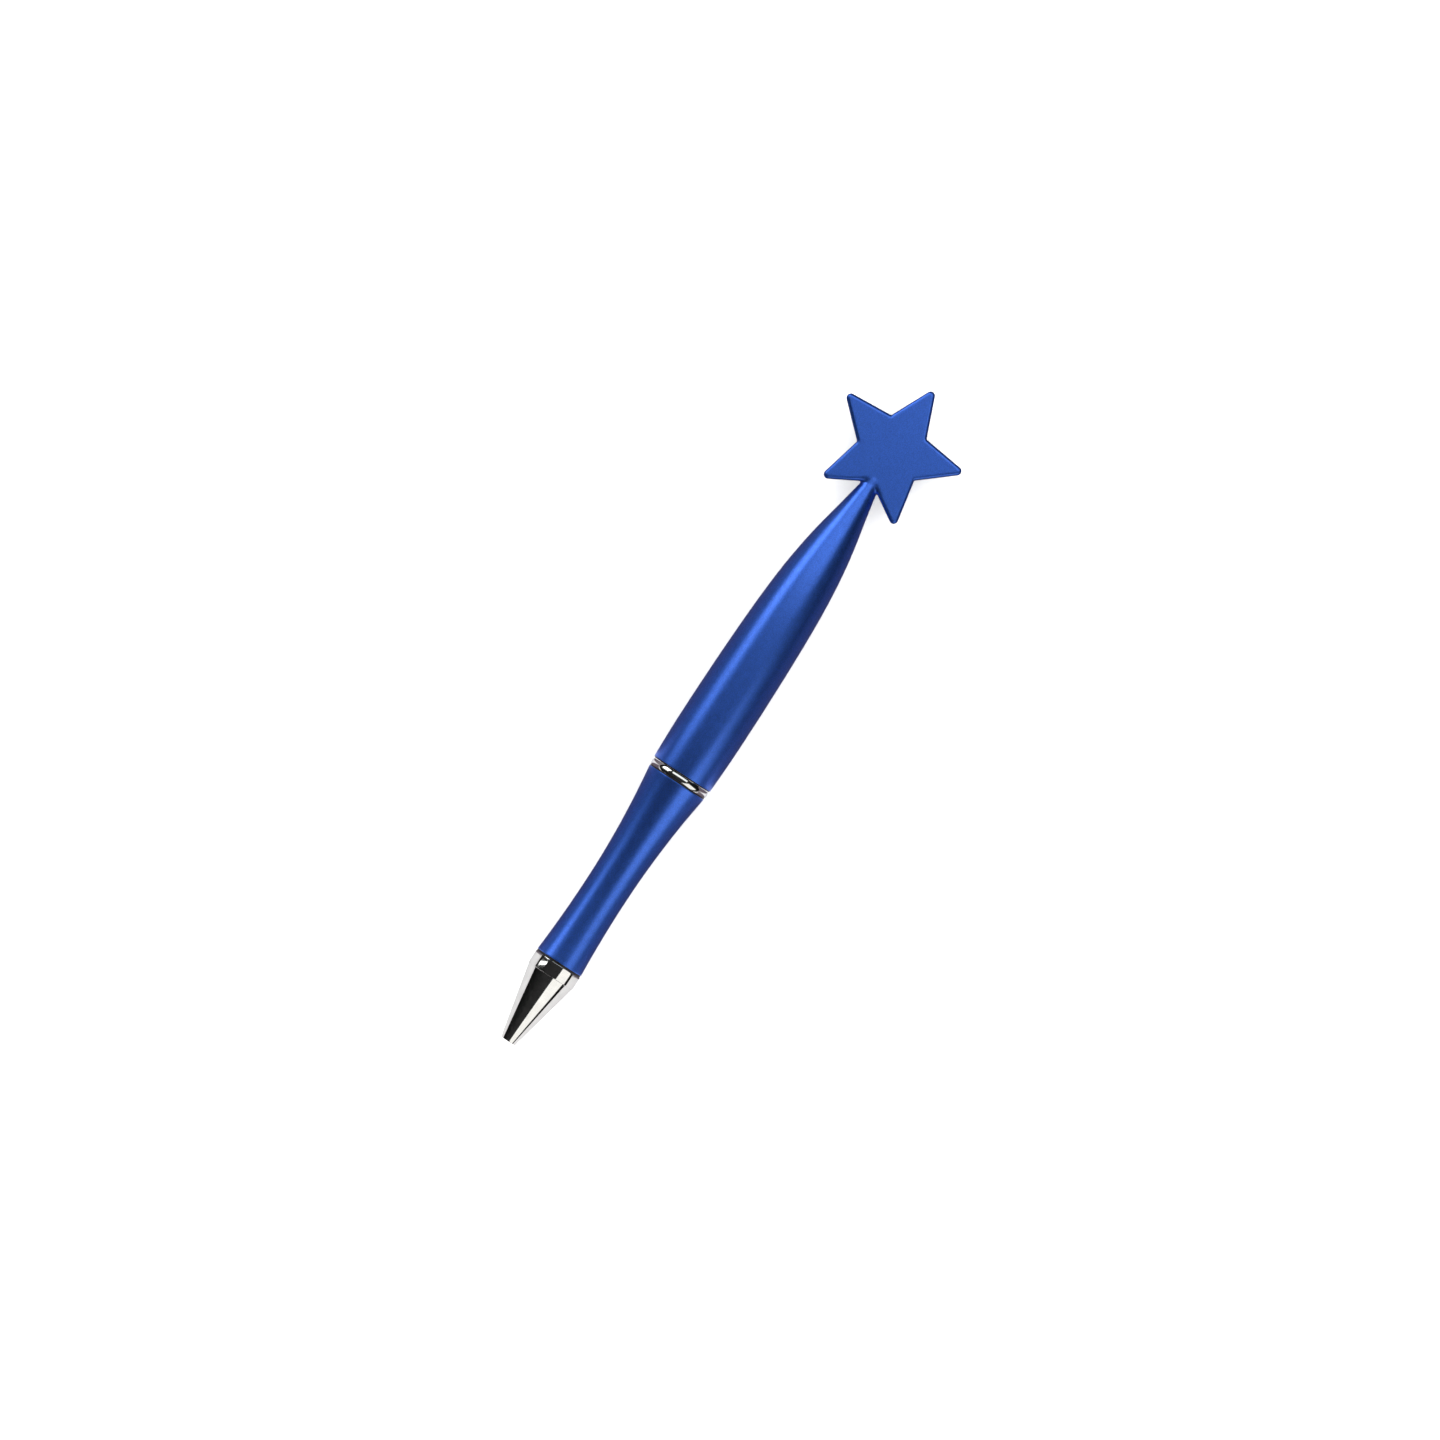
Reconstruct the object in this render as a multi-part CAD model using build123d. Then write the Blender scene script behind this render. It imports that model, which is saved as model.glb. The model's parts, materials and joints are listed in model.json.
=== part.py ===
from build123d import *
import os
from math import cos, hypot, pi, radians, sin, sqrt

# Twist-action ball pen with a flat star on its end, lying on its side, refill retracted. Millimetres.
# Every piece is drawn upright in pen coordinates: the nose opening at z = 0, the pen's axis on Z, and the
# star's faces square to X. lay_down() then puts the axis on X at the belly's radius above the ground, with
# the nose towards -X and the star's upper face towards +Z.

# Overall
PEN_LENGTH = 150.0
STROKE = 4.8                 # how far the refill comes out over the whole twist
TWIST = 180.0                # degrees of twist between retracted and written out
RUNNING = 0.05               # radial or end clearance where pieces slide or turn

# Nose cone
NOSE_TIP_R = 1.6
NOSE_BASE_R = 4.89
NOSE_BASE_Z = 15.05
COLLAR_R = 4.98
GRIP_Z = 18.1                # the nose ends here and the grip barrel begins
SHADOW_GAP = 0.3             # width of the groove that parts the collar from the grip barrel
SHADOW_GAP_R = 4.5
NOSE_HOLE_R = 1.08
NOSE_HOLE_DEPTH = 0.5
NOSE_TAPER_Z = 1.5
SPRING_SEAT_Z = 12.0
GUIDE_BORE_Z = 7.0           # the bore opens here to let the refill's tube come forward
SPRING_BORE_R = 2.2
SPIGOT_R = 3.0
SPIGOT_TOP_Z = 25.0

# Grip barrel: two long arcs that meet at the waist
GRIP_NOSE_R = 4.99
WAIST_R = 4.4
WAIST_Z = 34.6
GRIP_TOP_R = 6.26
GRIP_TOP_Z = 59.97
GRIP_NOSE_ROUND = 0.25
RIM_ROUND = 0.3

# Centre ring
RING_R = 6.31
RING_TOP_Z = 61.41
RING_STEP = 0.15             # the bright band stands clear of both barrels by this much
RING_STEP_R = 5.7
RING_ROUND = 0.2
NECK_R = 4.3

# Guide tube, which is the fixed core of the mechanism
CORE_R = 4.0
CORE_Z = 50.0
FLANGE_R = 4.9
FLANGE_TOP_Z = 63.4
GUIDE_R = 3.2
GUIDE_BORE_R = 2.3
GUIDE_TOP_Z = 88.6
CAP_SEAT_R = 2.9
CAP_SEAT_Z = 86.15
CAP_R = 4.2
CAP_TOP_Z = 88.0

# Cam sleeve
SLEEVE_R = FLANGE_R + RUNNING
SLEEVE_BORE_R = GUIDE_R + RUNNING
SLEEVE_TOP_Z = CAP_SEAT_Z - RUNNING
GROOVE_R = 4.05
GROOVE_OVERRUN = 15.0        # degrees that each groove runs past the pin at either end

# Upper barrel
UPPER_Z = RING_TOP_Z + 0.09
UPPER_RIM_R = 6.4
BELLY_R = 6.665
BELLY_Z = 73.5
CONE_R = 2.73                # the last stretch is a straight cone, which runs on into the star's neck
CONE_Z = 123.4
CONE_SLOPE = 0.196
SEAM_Z = 126.5               # where the star's neck meets the barrel
SEAM_R = CONE_R - CONE_SLOPE * (SEAM_Z - CONE_Z)
SHOULDER_R = 4.5
TAPER_Z = 99.0
TAPER_END_R = 2.2
TAPER_END_Z = 114.5
PEG_R = 0.9
PEG_Z = 117.5

# Star
STAR_POINTS = 5
STAR_TIP_R = 15.25           # to the sharp corner, before it is rounded
STAR_NOTCH_R = 7.05
STAR_TIP_ROUND = 0.85
STAR_NOTCH_ROUND = 0.3
STAR_THICKNESS = 3.3
STAR_EDGE_ROUND = 0.6
STAR_TURN = 1.5              # degrees, clockwise from above: the star sits a little askew on its neck

# Plunger and cross pin
PIN_Z = 80.0                 # with the refill retracted
PIN_R = 0.6
PIN_END_R = 3.95
PLUNGER_R = GUIDE_BORE_R - RUNNING
PLUNGER_Z = 74.0
PLUNGER_TOP_Z = 85.5

# Refill
BALL_R = 0.5
BALL_Z = 2.8
SOCKET_R = BALL_R + 0.02
POINT_RIM_Z = BALL_Z - 0.2
POINT_RIM_R = 0.55
POINT_R = 1.15
POINT_CONE_LENGTH = 3.6
TUBE_R = 1.5
TUBE_BORE_R = 1.0
TUBE_Z = 12.3
TUBE_TOP_Z = 78.5
POINT_FLANGE_THICKNESS = 0.4
SHANK_TOP_Z = 17.0
INK_TOP_Z = 66.0
SEAL_TOP_Z = 69.0

# Return spring and the collar on the refill that it pushes
SPRING_TOP_Z = 32.0
SPRING_COIL_R = 1.8
WIRE_R = 0.175
SPRING_TURNS = 12
SPRING_COLLAR_R = 2.15
SPRING_COLLAR_LENGTH = 1.2


def turned(*edges):
    """The solid of revolution about Z of a closed outline of (radius, height) edges."""
    return revolve(Plane.XZ * make_face(edges), Axis.Z)


def turned_points(*points):
    return turned(*Polyline(*points, close=True).edges())


def tube(outer, inner, bottom, top):
    return turned_points((inner, bottom), (outer, bottom), (outer, top), (inner, top))


def rod(radius, bottom, top):
    return Pos(0, 0, bottom) * extrude(Circle(radius), top - bottom)


def rims(solid, *places):
    """The circular edges of a solid at the given (radius, height) places."""
    circles = solid.edges().filter_by(GeomType.CIRCLE)
    return [
        edge for edge in circles for radius, height in places
        if abs(edge.radius - radius) < 0.01 and abs(edge.arc_center.Z - height) < 0.01
    ]


def nose_cone():
    """The turned metal nose: cone, collar and the spigot that screws into the grip barrel."""
    collar_top_z = GRIP_Z - SHADOW_GAP
    body = turned_points(
        (NOSE_HOLE_R, 0), (NOSE_TIP_R, 0), (NOSE_BASE_R, NOSE_BASE_Z), (COLLAR_R, NOSE_BASE_Z),
        (COLLAR_R, collar_top_z), (SHADOW_GAP_R, collar_top_z), (SHADOW_GAP_R, GRIP_Z),
        (SPIGOT_R, GRIP_Z), (SPIGOT_R, SPIGOT_TOP_Z), (SPRING_BORE_R, SPIGOT_TOP_Z),
        (SPRING_BORE_R, SPRING_SEAT_Z), (TUBE_R + 0.1, SPRING_SEAT_Z), (TUBE_R + 0.1, GUIDE_BORE_Z),
        (POINT_R + 0.075, GUIDE_BORE_Z), (POINT_R + 0.075, NOSE_TAPER_Z), (NOSE_HOLE_R, NOSE_HOLE_DEPTH),
    )
    body = fillet(rims(body, (COLLAR_R, NOSE_BASE_Z), (COLLAR_R, collar_top_z)), 0.05)
    return fillet(rims(body, (NOSE_TIP_R, 0)), 0.1)


def grip_barrel():
    """The lower barrel, slimmest at the waist where the fingers hold it."""
    body = turned(
        TangentArc((WAIST_R, WAIST_Z), (GRIP_NOSE_R, GRIP_Z), tangent=(0, -1)),
        TangentArc((WAIST_R, WAIST_Z), (GRIP_TOP_R, GRIP_TOP_Z), tangent=(0, 1)),
        *Polyline(
            (GRIP_TOP_R, GRIP_TOP_Z), (CORE_R, GRIP_TOP_Z), (CORE_R, CORE_Z - 0.1),
            (SPIGOT_R, CORE_Z - 0.1), (SPIGOT_R, GRIP_Z), (GRIP_NOSE_R, GRIP_Z),
        ).edges(),
    )
    body = fillet(rims(body, (GRIP_NOSE_R, GRIP_Z)), GRIP_NOSE_ROUND)
    return fillet(rims(body, (GRIP_TOP_R, GRIP_TOP_Z)), RIM_ROUND)


def centre_ring():
    """The bright ring between the barrels, held between the core's flange and the grip barrel."""
    band_z, band_top_z = GRIP_TOP_Z + RING_STEP, RING_TOP_Z - RING_STEP
    ring = tube(RING_STEP_R, NECK_R, GRIP_TOP_Z, RING_TOP_Z) + tube(RING_R, NECK_R, band_z, band_top_z)
    return fillet(rims(ring, (RING_R, band_z), (RING_R, band_top_z)), RING_ROUND)


def guide_tube():
    """The fixed core: it screws into the grip barrel, and its two slots keep the pin from turning."""
    core = turned_points(
        (GUIDE_BORE_R, CORE_Z), (CORE_R, CORE_Z), (CORE_R, GRIP_TOP_Z), (NECK_R, GRIP_TOP_Z),
        (NECK_R, RING_TOP_Z), (FLANGE_R, RING_TOP_Z), (FLANGE_R, FLANGE_TOP_Z), (GUIDE_R, FLANGE_TOP_Z),
        (GUIDE_R, CAP_SEAT_Z), (CAP_SEAT_R, CAP_SEAT_Z), (CAP_SEAT_R, GUIDE_TOP_Z),
        (GUIDE_BORE_R, GUIDE_TOP_Z),
    )
    slot_length = STROKE + 2 * (PIN_R + 2 * RUNNING)
    slot = Plane.XZ * Pos(0, PIN_Z - STROKE / 2) * SlotOverall(slot_length, 2 * (PIN_R + RUNNING), rotation=90)
    return core - extrude(slot, 2 * GUIDE_R, both=True)


def guide_cap():
    """The push-on cap that keeps the cam sleeve on the guide tube."""
    return tube(CAP_R, CAP_SEAT_R, CAP_SEAT_Z, CAP_TOP_Z)


def cam_groove(pin_angle):
    """One left-handed groove: the pin's end runs down it as the sleeve turns clockwise from above."""
    inner_r = SLEEVE_BORE_R - 0.2
    mean_r = (inner_r + GROOVE_R) / 2
    pitch = STROKE * 360 / TWIST
    overrun = pitch * GROOVE_OVERRUN / 360
    bottom = PIN_Z - STROKE - overrun
    slope = pitch / (2 * pi * SLEEVE_BORE_R)
    half_width = PIN_R * sqrt(1 + slope ** 2) + RUNNING
    section = Plane.XZ * Pos(mean_r, 0) * Rectangle(GROOVE_R - inner_r, 2 * half_width)
    groove = sweep(section, path=Helix(pitch, STROKE + 2 * overrun, mean_r, lefthand=True), is_frenet=True)
    return Location((0, 0, bottom), (0, 0, pin_angle + TWIST + GROOVE_OVERRUN)) * groove


def cam_sleeve():
    """The sleeve pressed into the upper barrel, with two helical grooves for the ends of the pin."""
    bottom = FLANGE_TOP_Z + RUNNING
    sleeve = tube(SLEEVE_R, SLEEVE_BORE_R, bottom, SLEEVE_TOP_Z)
    for pin_angle in (90, 270):
        sleeve -= cam_groove(pin_angle)
    # the way in for the pin at assembly, from the sleeve's lower end up to where the grooves end
    way_in = PIN_Z - STROKE - bottom
    return sleeve - Pos(0, 0, bottom + way_in / 2) * Box(2 * PIN_R + 0.24, 2 * GROOVE_R, way_in)


def upper_barrel():
    """The upper barrel: it turns on the core's flange, swells to the belly and tapers to the star."""
    body = turned(
        TangentArc((BELLY_R, BELLY_Z), (UPPER_RIM_R, UPPER_Z), tangent=(0, -1)),
        Spline(
            (BELLY_R, BELLY_Z), (6.405, 92.5), (5.73, 105.0), (4.12, 116.7), (CONE_R, CONE_Z),
            tangents=[(0, 1), (-CONE_SLOPE, 1)],
        ),
        *Polyline(
            (CONE_R, CONE_Z), (SEAM_R, SEAM_Z), (PEG_R, SEAM_Z), (PEG_R, TAPER_END_Z),
            (TAPER_END_R, TAPER_END_Z), (SHOULDER_R, TAPER_Z), (SHOULDER_R, SLEEVE_TOP_Z),
            (SLEEVE_R, SLEEVE_TOP_Z), (SLEEVE_R, UPPER_Z), (UPPER_RIM_R, UPPER_Z),
        ).edges(),
    )
    return fillet(rims(body, (UPPER_RIM_R, UPPER_Z)), RIM_ROUND)


def star_topper():
    """The flat star, with the neck that leaves its notch and the peg that is pressed into the barrel."""
    corners = []
    for tip in range(STAR_POINTS):
        angle = pi / 2 + radians(STAR_TURN) + 2 * pi * tip / STAR_POINTS
        notch_angle = angle + pi / STAR_POINTS
        corners.append((STAR_TIP_R * cos(angle), STAR_TIP_R * sin(angle)))
        corners.append((STAR_NOTCH_R * cos(notch_angle), STAR_NOTCH_R * sin(notch_angle)))
    outline = make_face(Polyline(*corners, close=True))
    tips = [v for v in outline.vertices() if hypot(v.X, v.Y) > STAR_TIP_R - 0.01]
    outline = fillet(tips, STAR_TIP_ROUND)
    notches = [v for v in outline.vertices() if hypot(v.X, v.Y) < STAR_NOTCH_R + 0.01]
    outline = fillet(notches, STAR_NOTCH_ROUND)
    plate = extrude(Plane.YZ * outline, STAR_THICKNESS / 2, both=True)
    faces = plate.faces().sort_by(Axis.X)
    plate = fillet(faces[0].edges() + faces[-1].edges(), STAR_EDGE_ROUND)
    reach = plate.bounding_box().max.Z
    plate = Pos(0, 0, PEN_LENGTH - reach) * plate
    # the neck narrows to the plate's thickness just where it enters the notch
    flush_r = STAR_THICKNESS / 2 - 0.01
    flush_z = SEAM_Z + (SEAM_R - flush_r) / CONE_SLOPE
    neck_top_z = PEN_LENGTH - reach - STAR_NOTCH_R + 2
    neck = turned_points(
        (0, PEG_Z), (PEG_R, PEG_Z), (PEG_R, SEAM_Z), (SEAM_R, SEAM_Z), (flush_r, flush_z), (flush_r, neck_top_z),
        (0, neck_top_z),
    )
    return plate + neck


def plunger():
    """The slider inside the guide tube: the refill's end is pushed into it and the pin crosses it."""
    body = rod(PLUNGER_R, PLUNGER_Z, PLUNGER_TOP_Z) - rod(TUBE_R, PLUNGER_Z, TUBE_TOP_Z)
    return body - Pos(0, 0, PIN_Z) * Rot(90, 0, 0) * Cylinder(PIN_R, 2 * PLUNGER_R)


def cross_pin():
    pin = Pos(0, 0, PIN_Z) * Rot(90, 0, 0) * Cylinder(PIN_R, 2 * PIN_END_R)
    return chamfer(pin.edges().filter_by(GeomType.CIRCLE), 0.1)


def refill_tube():
    return tube(TUBE_R, TUBE_BORE_R, TUBE_Z, TUBE_TOP_Z)


def refill_point():
    """The metal point: a cone that holds the ball, a flange that the tube meets and a hollow shank."""
    channel_r = 0.2
    well_r = 0.6
    well_z = BALL_Z + 2.0
    body = turned_points(
        (0, POINT_RIM_Z), (POINT_RIM_R, POINT_RIM_Z), (POINT_R, POINT_RIM_Z + POINT_CONE_LENGTH),
        (POINT_R, TUBE_Z - POINT_FLANGE_THICKNESS), (TUBE_R, TUBE_Z - POINT_FLANGE_THICKNESS),
        (TUBE_R, TUBE_Z), (TUBE_BORE_R, TUBE_Z), (TUBE_BORE_R, SHANK_TOP_Z), (0, SHANK_TOP_Z),
    )
    body -= Pos(0, 0, BALL_Z) * Sphere(SOCKET_R)
    body -= rod(channel_r, BALL_Z, well_z)
    return body - rod(well_r, well_z, SHANK_TOP_Z)


def writing_ball():
    return Pos(0, 0, BALL_Z) * Sphere(BALL_R)


def ink_column():
    return rod(TUBE_BORE_R, SHANK_TOP_Z, INK_TOP_Z)


def ink_seal():
    """The plug of clear grease that follows the ink down the tube."""
    return rod(TUBE_BORE_R, INK_TOP_Z, SEAL_TOP_Z)


def spring_collar():
    return tube(SPRING_COLLAR_R, TUBE_R, SPRING_TOP_Z, SPRING_TOP_Z + SPRING_COLLAR_LENGTH)


def return_spring():
    """The coil spring between the seat in the nose cone and the collar on the refill."""
    bottom = SPRING_SEAT_Z + WIRE_R
    height = SPRING_TOP_Z - WIRE_R - bottom
    path = Pos(0, 0, bottom) * Helix(height / SPRING_TURNS, height, SPRING_COIL_R)
    section = Plane(origin=path @ 0, z_dir=path % 0) * Circle(WIRE_R)
    return sweep(section, path=path, is_frenet=True)


def lay_down(piece):
    return Location((-PEN_LENGTH / 2, 0, BELLY_R), (0, 90, 0)) * piece


pieces = (
    nose_cone, grip_barrel, centre_ring, guide_tube, guide_cap, cam_sleeve, upper_barrel, star_topper,
    plunger, cross_pin, refill_tube, refill_point, writing_ball, ink_column, ink_seal, spring_collar,
    return_spring,
)
os.makedirs("parts", exist_ok=True)
for piece in pieces:
    export_step(lay_down(piece()), f"parts/{piece.__name__}.step")
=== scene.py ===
import bpy, bmesh, json
import numpy as np
from math import atan2, copysign, cos, pi, radians, sin, sqrt, tan
from mathutils import Matrix, Vector
from mathutils.geometry import intersect_point_line

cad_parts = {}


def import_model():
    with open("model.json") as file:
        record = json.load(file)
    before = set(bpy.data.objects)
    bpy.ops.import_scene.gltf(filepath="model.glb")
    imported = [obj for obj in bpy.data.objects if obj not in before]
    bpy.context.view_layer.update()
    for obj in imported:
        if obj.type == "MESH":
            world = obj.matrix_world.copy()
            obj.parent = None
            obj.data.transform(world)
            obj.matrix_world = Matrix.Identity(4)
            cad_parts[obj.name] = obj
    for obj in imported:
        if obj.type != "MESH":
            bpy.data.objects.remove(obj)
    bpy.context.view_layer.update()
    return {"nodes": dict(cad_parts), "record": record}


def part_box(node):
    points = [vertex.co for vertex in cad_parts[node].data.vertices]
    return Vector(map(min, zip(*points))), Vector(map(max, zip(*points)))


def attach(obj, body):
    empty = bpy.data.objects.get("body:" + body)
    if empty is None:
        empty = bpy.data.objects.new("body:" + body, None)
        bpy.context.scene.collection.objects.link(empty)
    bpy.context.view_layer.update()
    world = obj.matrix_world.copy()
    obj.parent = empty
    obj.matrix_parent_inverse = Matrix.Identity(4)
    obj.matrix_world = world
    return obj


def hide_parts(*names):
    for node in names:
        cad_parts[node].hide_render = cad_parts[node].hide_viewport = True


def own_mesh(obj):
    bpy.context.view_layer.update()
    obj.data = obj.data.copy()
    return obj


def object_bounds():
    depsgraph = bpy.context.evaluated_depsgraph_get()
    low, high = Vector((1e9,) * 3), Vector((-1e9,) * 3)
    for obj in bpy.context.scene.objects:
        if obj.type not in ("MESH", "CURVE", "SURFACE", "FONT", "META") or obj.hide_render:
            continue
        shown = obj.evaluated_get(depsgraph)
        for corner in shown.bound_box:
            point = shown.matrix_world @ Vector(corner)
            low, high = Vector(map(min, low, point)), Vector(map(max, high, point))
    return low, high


# A twist ball pen with a star on its end, lying on a pale table. Metres, in the CAD frame: the pen's axis
# runs along +X from nose to star, and the star's upper face looks up.

MM = 0.001
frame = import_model()
nodes = frame["nodes"]


def extent(node):
    """Where a round CAD node starts and ends along the pen, and its largest radius."""
    low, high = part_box(node)
    return low.x, high.x, (high.z - low.z) / 2


# ---------------------------------------------------------------- sizes, from the frame and a few of its own
NOSE_X, _, COLLAR_R = extent("nose_cone")
GRIP_X, GRIP_TOP_X, _ = extent("grip_barrel")
RING_X, RING_TOP_X, RING_R = extent("centre_ring")
UPPER_X, SEAM_X, BELLY_R = extent("upper_barrel")
_, STAR_END_X, _ = extent("star_topper")
AXIS_Z = BELLY_R

SPIN_STEPS = 224             # sides of a turned piece
ARC_STEPS = 8                # sides of a rounded edge
LENGTH_STEP = 0.5 * MM       # distance between rings along a long curved skin
POLE_R = 1e-7                # a turned outline's radius below this is on the axis


def along(distance):
    """X at a distance in millimetres from the nose opening."""
    return NOSE_X + distance * MM


# ---------------------------------------------------------------- outlines
def corner_arc(previous, here, following, rounding, steps):
    """Points of the arc that rounds the corner here, each with its direction from the arc's centre."""
    before, after = (previous - here).normalized(), (following - here).normalized()
    half = before.angle(after) / 2
    centre = here + (before + after).normalized() * rounding / sin(half)
    start = here + before * rounding / tan(half) - centre
    end = here + after * rounding / tan(half) - centre
    first = atan2(start.y, start.x)
    sweep = (atan2(end.y, end.x) - first + pi) % (2 * pi) - pi
    angles = [first + sweep * step / steps for step in range(steps + 1)]
    ways = [Vector((cos(angle), sin(angle))) for angle in angles]
    return [(centre + rounding * way, way) for way in ways]


def rounded(corners):
    """An (x, radius) outline from closed (x, radius, rounding) corners, with an arc in each rounded one."""
    places = [Vector((x, r)) for x, r, _ in corners]
    outline = []
    for i, here in enumerate(places):
        rounding = corners[i][2]
        if rounding:
            arc = corner_arc(places[i - 1], here, places[(i + 1) % len(places)], rounding, ARC_STEPS)
            outline += [point for point, _ in arc]
        else:
            outline.append(here)
    return outline


def skin(start, end, radius_at, trim=0.0):
    """Corners along a smooth skin, kept clear by trim of its two ends, where the edges are rounded."""
    first, last = start + trim, end - trim
    count = round((last - first) / LENGTH_STEP)
    xs = [first + (last - first) * i / count for i in range(count + 1)]
    return [(x, radius_at(x), 0) for x in xs]


def arc_from(waist_x, waist_r, end_x, end_r):
    """The radius at x along the arc that leaves (waist_x, waist_r) level and ends at (end_x, end_r)."""
    rise, run = end_r - waist_r, end_x - waist_x
    bend = (run * run + rise * rise) / (2 * abs(rise))
    way = 1 if rise > 0 else -1
    return lambda x: waist_r + way * (bend - sqrt(bend * bend - (x - waist_x) ** 2))


def smooth_through(points, start_slope, end_slope):
    """The radius at x along the smoothest curve through (x, radius) points with given end slopes."""
    xs, rs = np.array(points).T
    gaps, rises = np.diff(xs), np.diff(rs)
    matrix, right = np.eye(len(xs)), np.zeros(len(xs))
    right[0], right[-1] = start_slope, end_slope
    for i in range(1, len(xs) - 1):
        matrix[i, i - 1:i + 2] = 1 / gaps[i - 1], 2 / gaps[i - 1] + 2 / gaps[i], 1 / gaps[i]
        right[i] = 3 * (rises[i - 1] / gaps[i - 1] ** 2 + rises[i] / gaps[i] ** 2)
    slopes = np.linalg.solve(matrix, right)

    def radius_at(x):
        i = int(np.clip(np.searchsorted(xs, x) - 1, 0, len(gaps) - 1))
        t, gap = (x - xs[i]) / gaps[i], gaps[i]
        rising = t * t * (3 - 2 * t)
        return (
            rs[i] + rises[i] * rising
            + gap * (slopes[i] * t * (1 - t) ** 2 - slopes[i + 1] * t * t * (1 - t))
        )

    return radius_at


# ---------------------------------------------------------------- mesh makers
SHARP_ANGLE = radians(35)    # edges that bend more than this keep their corner


def piece_from(name, bm, body, slot, *replaced):
    """Makes bm into a smooth-shaded piece that rides on a body and stands for the CAD nodes replaced."""
    bmesh.ops.recalc_face_normals(bm, faces=bm.faces)
    mesh = bpy.data.meshes.new(name)
    bm.to_mesh(mesh)
    bm.free()
    for polygon in mesh.polygons:
        polygon.use_smooth = True
    mesh.set_sharp_from_angle(angle=SHARP_ANGLE)
    obj = bpy.data.objects.new(name, mesh)
    bpy.context.scene.collection.objects.link(obj)
    mesh.materials.append(MATERIALS[slot])
    weighted = obj.modifiers.new("even_shading", "WEIGHTED_NORMAL")
    weighted.keep_sharp = True
    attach(obj, body)
    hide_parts(*replaced)
    return obj


def lathe(outline, steps=SPIN_STEPS, closed=True):
    """A mesh turned about the pen's axis from an (x, radius) outline. A radius of nought makes a pole."""
    bm = bmesh.new()
    angles = [2 * pi * step / steps for step in range(steps)]
    rings = []
    for x, r in outline:
        if r < POLE_R:
            rings.append([bm.verts.new((x, 0, AXIS_Z))] * steps)
        else:
            rings.append([bm.verts.new((x, r * sin(a), AXIS_Z + r * cos(a))) for a in angles])
    pairs = list(zip(rings, rings[1:]))
    if closed:
        pairs.append((rings[-1], rings[0]))
    for one, other in pairs:
        for step in range(steps):
            after = (step + 1) % steps
            corners = list(dict.fromkeys([one[step], one[after], other[after], other[step]]))
            if len(corners) > 2:
                bm.faces.new(corners)
    return bm


# ---------------------------------------------------------------- materials
class Shader:
    """A Principled material with short calls for the textures that drive it."""

    def __init__(self, name, **constants):
        self.material = bpy.data.materials.new(name)
        self.material.use_nodes = True
        self.nodes = self.material.node_tree.nodes
        self.links = self.material.node_tree.links
        self.bsdf = self.nodes["Principled BSDF"]
        for socket, value in constants.items():
            self.bsdf.inputs[socket.replace("_", " ")].default_value = value
        self.place = self.nodes.new("ShaderNodeTexCoord").outputs["Object"]

    def noise(self, scale, detail=2.0, stretch=(1, 1, 1)):
        """Cloudy noise in the piece's own space, with more of it along an axis whose stretch is larger."""
        mapping = self.nodes.new("ShaderNodeMapping")
        mapping.inputs["Scale"].default_value = stretch
        self.links.new(self.place, mapping.inputs["Vector"])
        texture = self.nodes.new("ShaderNodeTexNoise")
        texture.inputs["Scale"].default_value = scale
        texture.inputs["Detail"].default_value = detail
        self.links.new(mapping.outputs["Vector"], texture.inputs["Vector"])
        return texture.outputs["Fac"]

    def cells(self, scale):
        """A random grey for each small cell."""
        texture = self.nodes.new("ShaderNodeTexVoronoi")
        texture.inputs["Scale"].default_value = scale
        self.links.new(self.place, texture.inputs["Vector"])
        spread = self.nodes.new("ShaderNodeSeparateColor")
        self.links.new(texture.outputs["Color"], spread.inputs["Color"])
        return spread.outputs["Red"]

    def ramp(self, factor, low, high, start=0.3, end=0.7):
        """A colour or grey that runs from low to high as factor goes from start to end."""
        node = self.nodes.new("ShaderNodeValToRGB")
        for element, position, value in zip(node.color_ramp.elements, (start, end), (low, high)):
            element.position = position
            element.color = (*value, 1) if isinstance(value, tuple) else (value,) * 3 + (1,)
        self.links.new(factor, node.inputs["Fac"])
        return node.outputs["Color"]

    def drive(self, socket, output):
        """Links an output to one of the shader's own sockets."""
        self.links.new(output, self.bsdf.inputs[socket])

    def bump(self, *layers):
        """Bumps the surface by (height, distance in metres, strength) layers, one on top of another."""
        normal = None
        for height, distance, strength in layers:
            node = self.nodes.new("ShaderNodeBump")
            node.inputs["Distance"].default_value = distance
            node.inputs["Strength"].default_value = strength
            self.links.new(height, node.inputs["Height"])
            if normal:
                self.links.new(normal, node.inputs["Normal"])
            normal = node.outputs["Normal"]
        self.drive("Normal", normal)


def blue_lacquer():
    """Satin metallic lacquer: fine flake under a soft clear coat, with a faint unevenness."""
    s = Shader("blue_lacquer", Metallic=0.97, Coat_Weight=0.3, Coat_Roughness=0.25)
    flake = s.cells(9000)
    s.drive("Base Color", s.ramp(flake, (0.052, 0.160, 0.70), (0.069, 0.208, 0.90), 0.1, 0.9))
    s.drive("Roughness", s.ramp(s.noise(900, 3), 0.33, 0.40))
    s.bump((s.noise(350, 2), 0.00001, 0.25), (flake, 0.000002, 0.3))
    return s.material


def chrome():
    """Bright plating over a turned part, with a trace of haze and fine turning marks."""
    s = Shader("chrome", Metallic=1.0)
    s.drive("Base Color", s.ramp(s.noise(500, 3), (0.80, 0.80, 0.78), (0.90, 0.90, 0.88)))
    s.drive("Roughness", s.ramp(s.noise(1500, 4), 0.035, 0.09))
    s.bump((s.noise(60, 2, (60, 1, 1)), 0.000002, 0.3))
    return s.material


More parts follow.
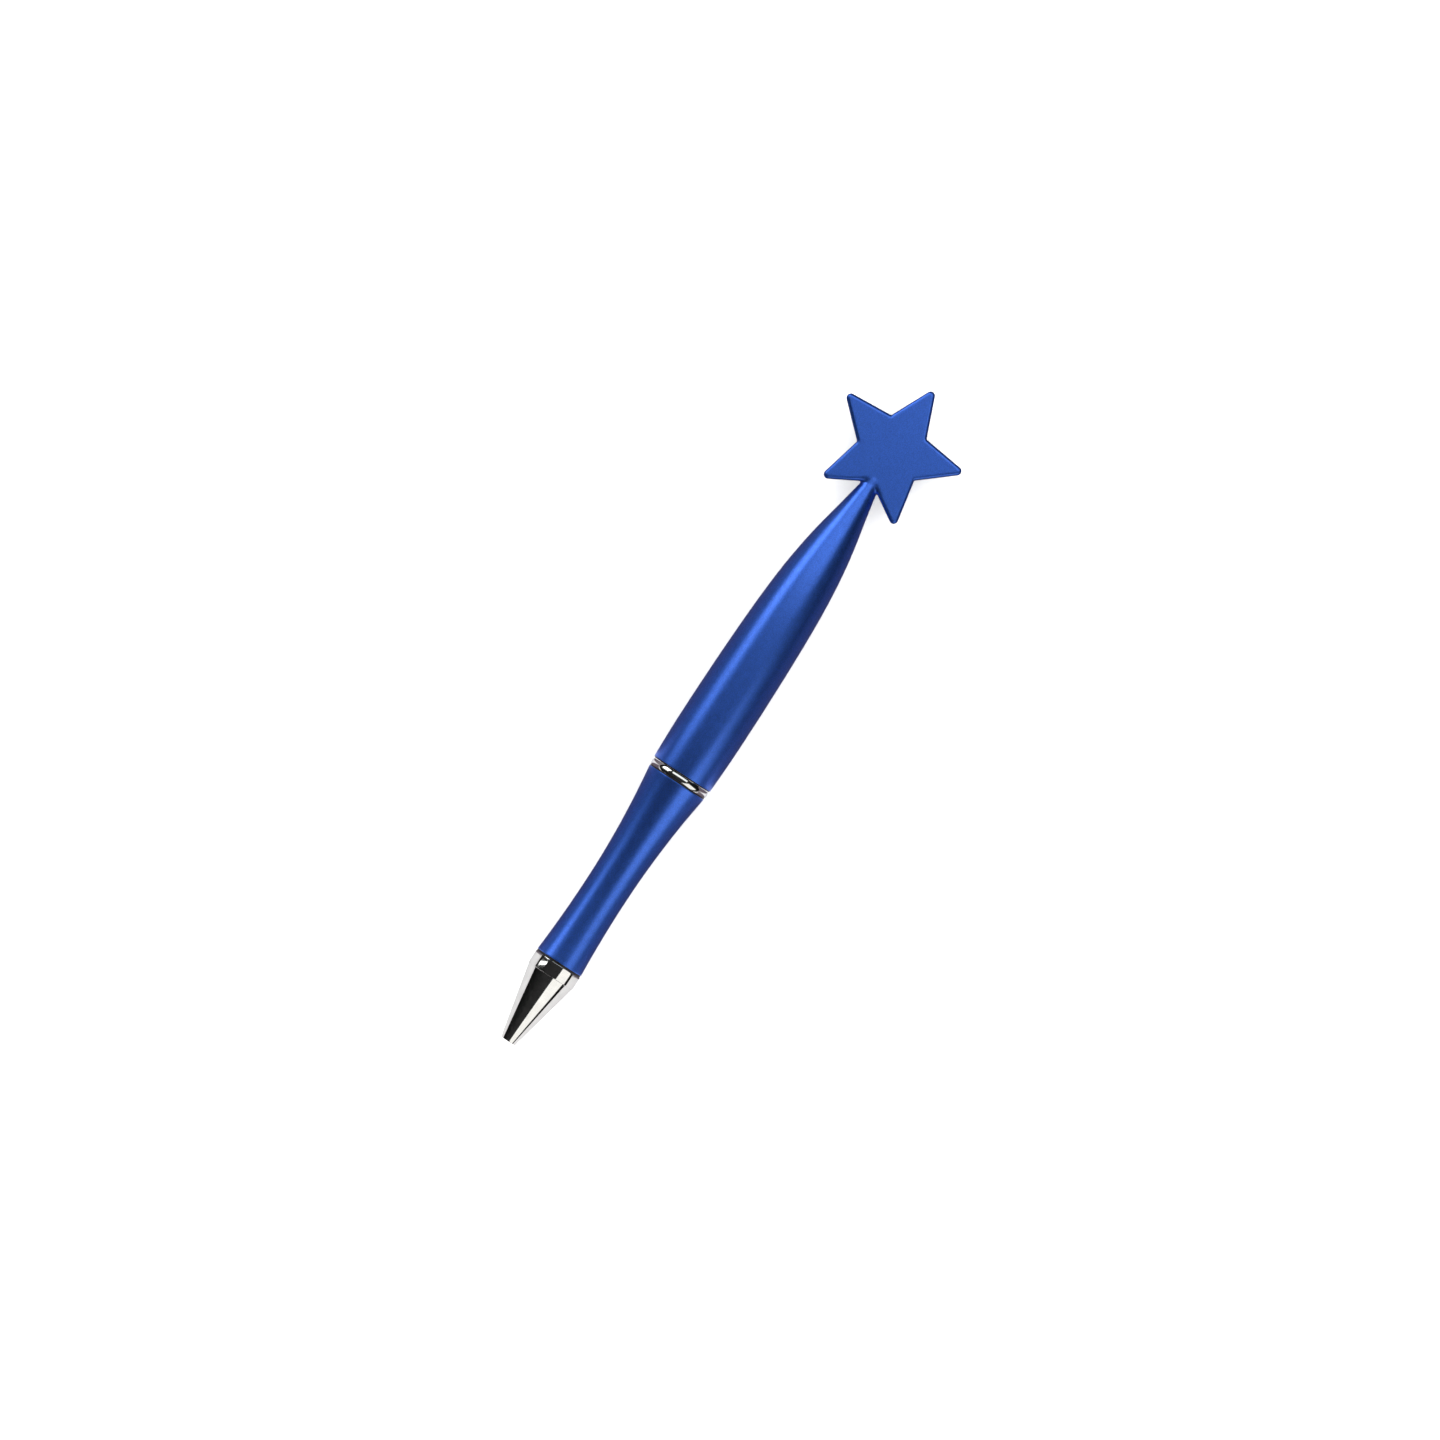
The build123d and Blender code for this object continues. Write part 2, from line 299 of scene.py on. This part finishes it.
def acetal(name, low, high):
    """Moulded acetal, slightly waxy, with a soft mottling."""
    s = Shader(name)
    s.drive("Base Color", s.ramp(s.noise(400, 3), low, high))
    s.drive("Roughness", s.ramp(s.noise(2500, 3), 0.38, 0.52))
    s.bump((s.noise(3000, 3), 0.00001, 0.3))
    return s.material


def bright_steel():
    """Drawn and polished steel, for the spring, pin, collar and ball."""
    s = Shader("bright_steel", Metallic=1.0)
    s.drive("Base Color", s.ramp(s.noise(900, 3), (0.52, 0.52, 0.53), (0.68, 0.68, 0.68)))
    s.drive("Roughness", s.ramp(s.noise(2500, 4), 0.16, 0.30))
    s.bump((s.noise(4000, 3), 0.000002, 0.3))
    return s.material


def brass():
    """Turned brass, with fine marks round the axis."""
    s = Shader("brass", Metallic=1.0)
    s.drive("Base Color", s.ramp(s.noise(700, 3), (0.60, 0.42, 0.16), (0.76, 0.56, 0.25)))
    s.drive("Roughness", s.ramp(s.noise(2500, 4), 0.18, 0.32))
    s.bump((s.noise(80, 2, (70, 1, 1)), 0.000003, 0.4))
    return s.material


def clear_plastic():
    """The refill tube's cloudy clear plastic."""
    s = Shader("clear_plastic", IOR=1.5, Transmission_Weight=0.6)
    s.drive("Base Color", s.ramp(s.noise(300, 2), (0.78, 0.83, 0.86), (0.88, 0.91, 0.93)))
    s.drive("Roughness", s.ramp(s.noise(1200, 3), 0.12, 0.22))
    return s.material


def blue_ink():
    """Thick blue ink, seen through the tube."""
    s = Shader("blue_ink", IOR=1.45)
    s.drive("Base Color", s.ramp(s.noise(300, 2), (0.004, 0.008, 0.10), (0.010, 0.018, 0.20)))
    s.drive("Roughness", s.ramp(s.noise(900, 3), 0.08, 0.16))
    return s.material


def grease():
    """The pale grease that follows the ink."""
    s = Shader("grease", IOR=1.47, Transmission_Weight=0.3)
    s.drive("Base Color", s.ramp(s.noise(500, 3), (0.62, 0.60, 0.42), (0.74, 0.71, 0.52)))
    s.drive("Roughness", s.ramp(s.noise(900, 3), 0.15, 0.25))
    return s.material


MATERIALS = {
    "blue_lacquer": blue_lacquer(),
    "chrome": chrome(),
    "white_acetal": acetal("white_acetal", (0.70, 0.70, 0.66), (0.80, 0.80, 0.77)),
    "black_acetal": acetal("black_acetal", (0.003, 0.003, 0.005), (0.008, 0.008, 0.011)),
    "bright_steel": bright_steel(),
    "brass": brass(),
    "clear_plastic": clear_plastic(),
    "blue_ink": blue_ink(),
    "grease": grease(),
}
for subpart in frame["record"]["subparts"]:
    obj = nodes[subpart["node"]]
    obj.data.materials.clear()
    obj.data.materials.append(MATERIALS[subpart["material_slot"]])


# ---------------------------------------------------------------- nose cone
GAP, GAP_R = 0.3 * MM, 4.5 * MM          # the groove's width and its floor's radius, before the grip barrel
GRIP_EDGE = 0.1 * MM                     # the painted-shade washer's share of the grip barrel's front end


def painted_shade_washer(name, start_x, end_x, inner_r, outer_r, body):
    """A thin black washer of painted shade: it stands in for the shade in the gap beside the chrome, and
    shows as a dark line there.
    """
    edge = 0.03 * MM
    outline = rounded([
        (start_x, inner_r, 0),
        (start_x, outer_r, edge),
        (end_x, outer_r, edge),
        (end_x, inner_r, 0),
    ])
    piece_from(name, lathe(outline), body, "black_acetal")


def nose_cone():
    """The bright cone and its collar; the bore and spigot behind are those of the CAD piece."""
    tip_r, hole_r, base_r = 1.6 * MM, 1.08 * MM, 4.89 * MM
    base_x, collar_x = along(15.05), GRIP_X - GAP
    middle_x, half = (base_x + collar_x) / 2, (collar_x - base_x) / 2
    guide_r, tube_r, spring_r, spigot_r = 1.225 * MM, 1.6 * MM, 2.2 * MM, 3.0 * MM
    hole_x, guide_x, tube_x, spring_x, spigot_x = (along(mm) for mm in (0.5, 1.5, 7.0, 12.0, 25.0))
    crown, edge = 0.02 * MM, 0.10 * MM

    def cone(x):
        return tip_r + (base_r - tip_r) * (x - NOSE_X) / (base_x - NOSE_X)

    def collar(x):
        return COLLAR_R - crown * ((x - middle_x) / half) ** 2

    outline = rounded([
        (NOSE_X, hole_r, 0.06 * MM),
        (NOSE_X, tip_r, 0.12 * MM),
        *skin(NOSE_X, base_x, cone, edge * 2),
        (base_x, base_r, 0),
        (base_x, COLLAR_R - crown, edge),
        *skin(base_x, collar_x, collar, edge * 2),
        (collar_x, COLLAR_R - crown, edge),
        (collar_x, GAP_R, 0),
        (GRIP_X, GAP_R, 0),
        (GRIP_X, spigot_r, 0),
        (spigot_x, spigot_r, 0.2 * MM),
        (spigot_x, spring_r, 0.1 * MM),
        (spring_x, spring_r, 0),
        (spring_x, tube_r, 0.05 * MM),
        (tube_x, tube_r, 0),
        (tube_x, guide_r, 0),
        (guide_x, guide_r, 0),
        (hole_x, hole_r, 0),
    ])
    piece_from("nose_cone_turned", lathe(outline), "grip_assembly", "chrome", "nose_cone")
    # painted shade: a black washer fills the groove behind the collar, to paint the dark shaded gap before
    # the grip barrel
    painted_shade_washer("nose_painted_shade_washer", collar_x, GRIP_X + GRIP_EDGE, GAP_R, 4.88 * MM, "grip_assembly")


# ---------------------------------------------------------------- barrels and ring
RING_STEP = 0.05 * MM                    # the ring's crowned band stands off the barrels by this much
RING_EDGE = 0.18 * MM                    # the painted-shade washers' share of each barrel's rim
RING_SIDE_R = 5.7 * MM                   # radius of the steps that the painted-shade washers sit on


def grip_barrel():
    """The lower barrel's lacquered skin: an arc into the waist and a flatter one out of it."""
    nose_r, top_r, waist_r, waist_x = 4.99 * MM, 6.26 * MM, 4.4 * MM, along(34.6)
    spigot_r, core_r, core_x = 3.0 * MM, 4.0 * MM, along(49.9)
    edge = 0.15 * MM
    start_x, end_x = GRIP_X + GRIP_EDGE, GRIP_TOP_X - RING_EDGE
    front = arc_from(waist_x, waist_r, GRIP_X, nose_r)
    back = arc_from(waist_x, waist_r, GRIP_TOP_X, top_r)
    outline = rounded([
        (start_x, front(start_x), edge),
        *skin(start_x, waist_x, front, 2 * edge)[:-1],
        *skin(waist_x, end_x, back, 2 * edge),
        (end_x, back(end_x), edge),
        (end_x, RING_SIDE_R, 0),
        (GRIP_TOP_X, RING_SIDE_R, 0),
        (GRIP_TOP_X, core_r, 0),
        (core_x, core_r, 0),
        (core_x, spigot_r, 0),
        (GRIP_X, spigot_r, 0.1 * MM),
        (GRIP_X, GAP_R, 0),
        (start_x, GAP_R, 0),
    ])
    piece_from("grip_barrel_skin", lathe(outline), "grip_assembly", "blue_lacquer", "grip_barrel")


def centre_ring():
    """A bright ring with a crowned band that stands clear of the barrels on either side."""
    crown, edge, bore_r, bore_edge = 0.18 * MM, 0.12 * MM, 4.3 * MM, 0.05 * MM
    start, end = RING_X + RING_STEP, RING_TOP_X - RING_STEP
    middle_x, half = (start + end) / 2, (end - start) / 2
    bend = (half * half + crown * crown) / (2 * crown)
    trim, steps = 1.5 * edge, 24

    def face(x):
        return RING_R - bend + sqrt(bend * bend - (x - middle_x) ** 2)

    face_xs = [start + trim + (end - start - 2 * trim) * i / steps for i in range(steps + 1)]
    outline = rounded([
        (RING_X, RING_SIDE_R, 0),
        (start, RING_SIDE_R, 0),
        (start, face(start), edge),
        *[(x, face(x), 0) for x in face_xs],
        (end, face(end), edge),
        (end, RING_SIDE_R, 0),
        (RING_TOP_X, RING_SIDE_R, 0),
        (RING_TOP_X, bore_r, bore_edge),
        (RING_X, bore_r, bore_edge),
    ])
    piece_from("centre_ring_polished", lathe(outline), "grip_assembly", "chrome", "centre_ring")
    # painted shade: black washers on either side of the ring paint the dark shaded gaps between the ring and
    # the barrels
    front_r, back_r = 6.14 * MM, 6.22 * MM
    painted_shade_washer("ring_painted_shade_washer_front", GRIP_TOP_X - RING_EDGE, start, RING_SIDE_R, front_r, "grip_assembly")
    painted_shade_washer("ring_painted_shade_washer_back", UPPER_X, UPPER_X + RING_EDGE, RING_SIDE_R, back_r, "barrel_assembly")


# the tip of the upper barrel and the star's neck are one cone, cut at the seam
CONE_X, CONE_R, CONE_SLOPE = along(123.4), 2.73 * MM, 0.196
SEAM_R = CONE_R - CONE_SLOPE * (SEAM_X - CONE_X)
PEG_R = 0.9 * MM


def cone_radius(x):
    """The radius of that cone at x."""
    return SEAM_R - CONE_SLOPE * (x - SEAM_X)


def upper_barrel():
    """The upper barrel's lacquered skin: an arc up to the belly, then one long taper to the seam."""
    rim_r, rim_round, rim_x, belly_x = 6.4 * MM, 0.15 * MM, UPPER_X + RING_EDGE, along(73.5)
    bore_r, shoulder_r, floor_r = 4.95 * MM, 4.5 * MM, 2.2 * MM
    shoulder_x, taper_x, floor_x = along(86.1), along(99.0), along(114.5)
    front = arc_from(belly_x, BELLY_R, UPPER_X, rim_r)
    between = [(along(92.5), 6.405 * MM), (along(105.0), 5.73 * MM), (along(116.7), 4.12 * MM)]
    taper = smooth_through([(belly_x, BELLY_R), *between, (CONE_X, CONE_R)], 0, -CONE_SLOPE)
    outline = rounded([
        (rim_x, front(rim_x), rim_round),
        *skin(rim_x, belly_x, front, 2 * rim_round)[:-1],
        *skin(belly_x, CONE_X, taper),
        *skin(CONE_X, SEAM_X, cone_radius)[1:],
        (SEAM_X, PEG_R, 0),
        (floor_x, PEG_R, 0),
        (floor_x, floor_r, 0),
        (taper_x, shoulder_r, 0),
        (shoulder_x, shoulder_r, 0),
        (shoulder_x, bore_r, 0),
        (UPPER_X, bore_r, 0.05 * MM),
        (UPPER_X, RING_SIDE_R, 0),
        (rim_x, RING_SIDE_R, 0),
    ])
    piece_from("upper_barrel_skin", lathe(outline), "barrel_assembly", "blue_lacquer", "upper_barrel")


# ---------------------------------------------------------------- star
STAR_TURN = radians(1.5)     # clockwise from above
STAR_HALF = 1.65 * MM        # half of its thickness
STAR_VOXEL = 0.13 * MM       # size of the cubes that its skin is remade from


def star_outline():
    """Points of the rounded star about its middle, one tip along +X, with their outward normals."""
    tip_r, notch_r, tip_round, notch_round, steps = 15.25 * MM, 7.05 * MM, 0.85 * MM, 0.3 * MM, 12
    corners = []
    for k in range(10):
        r, angle = (notch_r if k % 2 else tip_r), pi * k / 5 - STAR_TURN
        corners.append(Vector((r * cos(angle), r * sin(angle))))
    points = []
    for k, here in enumerate(corners):
        rounding, side = (notch_round, -1) if k % 2 else (tip_round, 1)
        arc = corner_arc(corners[k - 1], here, corners[(k + 1) % 10], rounding, steps)
        points += [(point, side * way) for point, way in arc]
    return points


def star_plate():
    """The star's plate, flat on both sides with quarter-round edges."""
    edge = 0.6 * MM
    outline = star_outline()
    centre_x = STAR_END_X - max(point.x for point, _ in outline)
    turns = [pi / 2 * k / ARC_STEPS for k in range(ARC_STEPS + 1)]
    profile = [(STAR_HALF - edge * (1 - sin(turn)), edge * (1 - cos(turn))) for turn in turns]
    profile = [(-height, inset) for height, inset in reversed(profile)] + profile
    bm = bmesh.new()
    layers = []
    for height, inset in profile:
        places = [point - way * inset for point, way in outline]
        layers.append([bm.verts.new((centre_x + place.x, place.y, AXIS_Z + height)) for place in places])
    for one, other in zip(layers, layers[1:]):
        for i in range(len(outline)):
            j = (i + 1) % len(outline)
            bm.faces.new((one[i], one[j], other[j], other[i]))
    bm.faces.new(layers[0])
    bm.faces.new(layers[-1])
    bmesh.ops.recalc_face_normals(bm, faces=bm.faces)
    return bm


def joined(parts, voxel):
    """One skin round overlapping closed meshes, remade from small cubes of that size."""
    mesh = bpy.data.meshes.new("joined")
    whole = bmesh.new()
    for part in parts:
        part.to_mesh(mesh)
        part.free()
        whole.from_mesh(mesh)
    whole.to_mesh(mesh)
    whole.free()
    obj = bpy.data.objects.new("joined", mesh)
    bpy.context.scene.collection.objects.link(obj)
    remesh = obj.modifiers.new("one_skin", "REMESH")
    remesh.mode = "VOXEL"
    remesh.voxel_size = voxel
    skin_mesh = bpy.data.meshes.new_from_object(obj.evaluated_get(bpy.context.evaluated_depsgraph_get()))
    bpy.data.objects.remove(obj)
    bm = bmesh.new()
    bm.from_mesh(skin_mesh)
    bpy.data.meshes.remove(mesh)
    bpy.data.meshes.remove(skin_mesh)
    return bm


def star_neck():
    """The neck, slightly proud of the star's faces, because smoothing shrinks it."""
    start_x, end_x = SEAM_X - 1.0 * MM, along(131.0)
    crest_r = STAR_HALF + 0.11 * MM
    crest_x = SEAM_X + (SEAM_R - crest_r) / CONE_SLOPE
    bm = lathe([
        (start_x, 0),
        (start_x, cone_radius(start_x)),
        (crest_x, crest_r),
        (along(129.4), crest_r - 0.02 * MM),
        (end_x, STAR_HALF - 0.15 * MM),
        (end_x, 0),
    ], closed=False)
    bmesh.ops.recalc_face_normals(bm, faces=bm.faces)
    return bm


def smooth(bm, verts):
    """Moves each vertex halfway to the middle of its neighbours."""
    bmesh.ops.smooth_vert(bm, verts=verts, factor=0.5, use_axis_x=True, use_axis_y=True, use_axis_z=True)


def fill_corners(bm):
    """Smooths the corner between neck and notch on both sides, most along the line where they meet."""
    side_x, side_y, notch_x, passes = along(127.9), 1.85 * MM, along(129.2), 8

    def from_corner(v):
        start, end = Vector((side_x, copysign(side_y, v.co.y))), Vector((notch_x, 0))
        share = intersect_point_line(v.co.xy, start, end)[1]
        return (v.co.xy - start.lerp(end, min(1, max(0, share)))).length

    for reach in (1.5 * MM, 1.2 * MM, 0.9 * MM):
        near = [v for v in bm.verts if from_corner(v) < reach]
        for _ in range(passes):
            smooth(bm, near)


def true_neck(bm):
    """Makes the neck a true cone in line with the barrel's as far as the blend, and cuts it at the seam."""
    blend_x, blend_length, arm_y = along(127.2), 0.4 * MM, 2.8 * MM
    verts = [v for v in bm.verts if v.co.x < blend_x and abs(v.co.y) < arm_y]
    for v in verts:
        out = Vector((0, v.co.y, v.co.z - AXIS_Z))
        share = min(1, (blend_x - v.co.x) / blend_length)
        r = out.length + share * (cone_radius(v.co.x) - out.length)
        v.co = Vector((v.co.x, 0, AXIS_Z)) + out.normalized() * r
    own = set(verts)
    edges = [e for e in bm.edges if own.issuperset(e.verts)]
    faces = [f for f in bm.faces if own.issuperset(f.verts)]
    cut = bmesh.ops.bisect_plane(
        bm, geom=[*verts, *edges, *faces], plane_co=(SEAM_X, 0, 0), plane_no=(1, 0, 0), clear_inner=True,
    )["geom_cut"]
    bmesh.ops.edgenet_fill(bm, edges=[part for part in cut if isinstance(part, bmesh.types.BMEdge)])


def add_peg(bm):
    """The peg that holds the star in the barrel's tip."""
    peg_x, root_x, steps = along(117.5), SEAM_X + 0.5 * MM, 48
    outline = rounded([(peg_x, 0, 0), (peg_x, PEG_R, 0.1 * MM), (root_x, PEG_R, 0), (root_x, 0, 0)])
    peg = lathe(outline, steps, closed=False)
    mesh = bpy.data.meshes.new("peg")
    peg.to_mesh(mesh)
    peg.free()
    bm.from_mesh(mesh)
    bpy.data.meshes.remove(mesh)


def star_topper():
    """The moulded star: its plate, the neck blended into its notch, and the peg in the barrel."""
    bm = joined((star_plate(), star_neck()), STAR_VOXEL)
    smooth(bm, bm.verts)
    fill_corners(bm)
    true_neck(bm)
    add_peg(bm)
    piece_from("star_topper_moulded", bm, "barrel_assembly", "blue_lacquer", "star_topper")


# ---------------------------------------------------------------- spring
def return_spring():
    """The coil spring, with two closed turns at either end, built at one length; the real one shortens as
    the refill comes out.
    """
    coil_r, wire_r, seat_x, end_x = 1.8 * MM, 0.175 * MM, along(12.0), along(32.0)
    closed_turns, open_turns, steps, sides = 2.0, 9.0, 48, 12
    turns = 2 * closed_turns + open_turns
    shut = closed_turns * 2.06 * wire_r      # the closed turns all but touch
    marks = (0, closed_turns, closed_turns + open_turns, turns)
    places = (seat_x + wire_r, seat_x + wire_r + shut, end_x - wire_r - shut, end_x - wire_r)
    bm = bmesh.new()
    rings = []
    for i in range(round(turns * steps) + 1):
        turn = i / steps
        angle = 2 * pi * turn
        out, ahead = Vector((0, sin(angle), cos(angle))), Vector((1, 0, 0))
        centre = Vector((float(np.interp(turn, marks, places)), 0, AXIS_Z)) + coil_r * out
        rings.append([
            bm.verts.new(centre + wire_r * (cos(side) * out + sin(side) * ahead))
            for side in (2 * pi * k / sides for k in range(sides))
        ])
    for one, other in zip(rings, rings[1:]):
        for k in range(sides):
            bm.faces.new((one[k], one[(k + 1) % sides], other[(k + 1) % sides], other[k]))
    bm.faces.new(rings[0])
    bm.faces.new(rings[-1])
    spring = piece_from("return_spring_coil", bm, "grip_assembly", "bright_steel", "return_spring")
    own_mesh(spring)


# ---------------------------------------------------------------- the refill's point
def refill_point():
    """The turned point: a rim closed over the ball, a cone, a straight run, a flange and a shank."""
    rim_x, cone_x, flange_x, tube_x, shank_x = (along(mm) for mm in (2.6, 6.2, 11.9, 12.3, 17.0))
    rim_r, point_r, tube_r, shank_r, well_r, channel_r = (r * MM for r in (0.55, 1.15, 1.5, 1.0, 0.6, 0.2))
    ball_x, socket_r, well_x, steps, sides = along(2.8), 0.52 * MM, along(4.8), 16, 96
    mouth = atan2(sqrt(socket_r ** 2 - (ball_x - rim_x) ** 2), rim_x - ball_x)
    throat = atan2(channel_r, sqrt(socket_r ** 2 - channel_r ** 2))
    socket = [throat + (mouth - throat) * k / steps for k in range(steps + 1)]
    outline = rounded([
        (rim_x, rim_r, 0),
        (cone_x, point_r, 0.5 * MM),
        (flange_x, point_r, 0),
        (flange_x, tube_r, 0.06 * MM),
        (tube_x, tube_r, 0.06 * MM),
        (tube_x, shank_r, 0),
        (shank_x, shank_r, 0.1 * MM),
        (shank_x, well_r, 0.1 * MM),
        (well_x, well_r, 0),
        (well_x, channel_r, 0),
        *[(ball_x + socket_r * cos(angle), socket_r * sin(angle), 0) for angle in socket],
    ])
    piece_from("refill_point_turned", lathe(outline, sides), "refill", "brass", "refill_point")


nose_cone()
grip_barrel()
centre_ring()
upper_barrel()
star_topper()
return_spring()
refill_point()

# ---------------------------------------------------------------- table, lights and camera
low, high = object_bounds()
PEN_MIDDLE = Vector(((low.x + high.x) / 2, 0, AXIS_Z))
TABLE_END = 3.0              # the table reaches this far every way
CARD_HEIGHT = 0.05 * MM      # of the cards on it
CEILING_HEIGHT = 2.6
CEILING_END = 30.0           # the ceiling reaches this far every way


def table(name, height, colour, start_x=-TABLE_END, end_x=TABLE_END, side=TABLE_END):
    """A floor of a given colour between two places along the pen, and as far as side across it."""
    mesh = bpy.data.meshes.new(name)
    corners = [(x, y, height) for x, y in ((start_x, -side), (end_x, -side), (end_x, side), (start_x, side))]
    mesh.from_pydata(corners, [], [(0, 1, 2, 3)])
    obj = bpy.data.objects.new(name, mesh)
    bpy.context.scene.collection.objects.link(obj)
    s = Shader(name, Roughness=0.6)
    darker, lighter = (tuple(c * share for c in colour) for share in (0.98, 1.02))
    s.drive("Base Color", s.ramp(s.noise(20, 3), darker, lighter))
    mesh.materials.append(s.material)
    return obj


def only_mirrored(obj):
    """Lets an object show in reflections and nowhere else."""
    obj.visible_camera = obj.visible_diffuse = obj.visible_shadow = obj.visible_transmission = False


def lay_reflectors():
    """Lays cards on the table, pale beside the chrome and dim beside the lacquer, and hangs a dark ceiling,
    so that nothing mirrors pure black."""
    nose_end, ring_start, ring_end = GRIP_X - 0.8 * MM, RING_X - 1.0 * MM, RING_TOP_X + 1.0 * MM
    dim = (0.078, 0.054, 0.074)
    for name, colour, start_x, end_x in (
        ("card_a", (0.45, 0.44, 0.45), -TABLE_END, nose_end),
        ("card_b", dim, nose_end, ring_start),
        ("card_c", (0.52, 0.51, 0.54), ring_start, ring_end),
        ("card_d", dim, ring_end, TABLE_END),
    ):
        only_mirrored(table(name, CARD_HEIGHT, colour, start_x, end_x))
    only_mirrored(table("ceiling", CEILING_HEIGHT, (0.007,) * 3, -CEILING_END, CEILING_END, CEILING_END))


def softbox(name, centre, facing, width, height, radiance, colour):
    """A rectangular light of an even brightness, whose width lies level."""
    data = bpy.data.lights.new(name, "AREA")
    data.shape = "RECTANGLE"
    data.size, data.size_y, data.color = width, height, colour
    data.energy = radiance * pi * width * height
    light = bpy.data.objects.new(name, data)
    bpy.context.scene.collection.objects.link(light)
    back = -Vector(facing).normalized()
    across = Vector((0, 0, 1)).cross(back).normalized()
    up = back.cross(across)
    light.matrix_world = Matrix.Translation(centre) @ Matrix((across, up, back)).transposed().to_4x4()


def polar(azimuth, elevation, distance):
    """A place seen from above the pen's middle; azimuth is from +X towards +Y."""
    a, e = radians(azimuth), radians(elevation)
    return Vector((cos(e) * cos(a), cos(e) * sin(a), sin(e))) * distance + PEN_MIDDLE


def lights():
    """A key from one long side with a narrow strip beside it, a panel near the nose on the other side, and
    one over the star."""
    key, strip = polar(66.5, 28, 2.0), polar(95.6, 28, 1.0)
    cool, warm, blue = (0.98, 1.0, 1.0), (1.0, 0.985, 0.95), (0.95, 0.99, 1.0)
    softbox("key_upper", key, PEN_MIDDLE - key, width=1.37, height=1.00, radiance=2.4, colour=cool)
    softbox("key_strip", strip, PEN_MIDDLE - strip, width=0.028, height=0.60, radiance=2.2, colour=cool)
    softbox(
        "lower_panel", (-0.110, -0.175, 0.131), facing=(0.226, 0.467, -0.855),
        width=0.202, height=0.205, radiance=1.08, colour=warm,
    )
    softbox(
        "top_panel", (0.236, 0.0, 0.41), facing=(-0.3, 0, -1),
        width=0.53, height=0.3, radiance=1.13, colour=blue,
    )


def world():
    """Even light from all round that polished surfaces don't mirror."""
    made = bpy.data.worlds.new("studio")
    bpy.context.scene.world = made
    made.use_nodes = True
    background = made.node_tree.nodes["Background"]
    background.inputs["Color"].default_value = (1, 1, 1, 1)
    background.inputs["Strength"].default_value = 1.8
    made.cycles_visibility.glossy = False


CAMERA_HEIGHT = 2.0          # above the pen's axis
VIEW_WIDTH = 0.2785          # of the whole square frame, at the pen's axis
AXIS_ANGLE = 56.9            # of the pen in the frame, from the right towards the top
FRAME_MIDDLE = (-0.6 * MM, -0.454 * MM)      # the place on the pen's axis plane that it looks at


def camera():
    """Looks straight down on the pen from far enough away to keep its lines almost parallel."""
    data = bpy.data.cameras.new("camera")
    data.sensor_width = 36
    data.lens = data.sensor_width * CAMERA_HEIGHT / VIEW_WIDTH
    data.clip_start, data.clip_end = 0.01, 10
    obj = bpy.data.objects.new("camera", data)
    bpy.context.scene.collection.objects.link(obj)
    obj.location = (*FRAME_MIDDLE, AXIS_Z + CAMERA_HEIGHT)
    obj.rotation_euler = (0, 0, -radians(AXIS_ANGLE))
    bpy.context.scene.camera = obj


table("table_top", 0, (0.88,) * 3).visible_glossy = False
lay_reflectors()
world()
lights()
camera()
bpy.context.scene.view_settings.view_transform = "Standard"
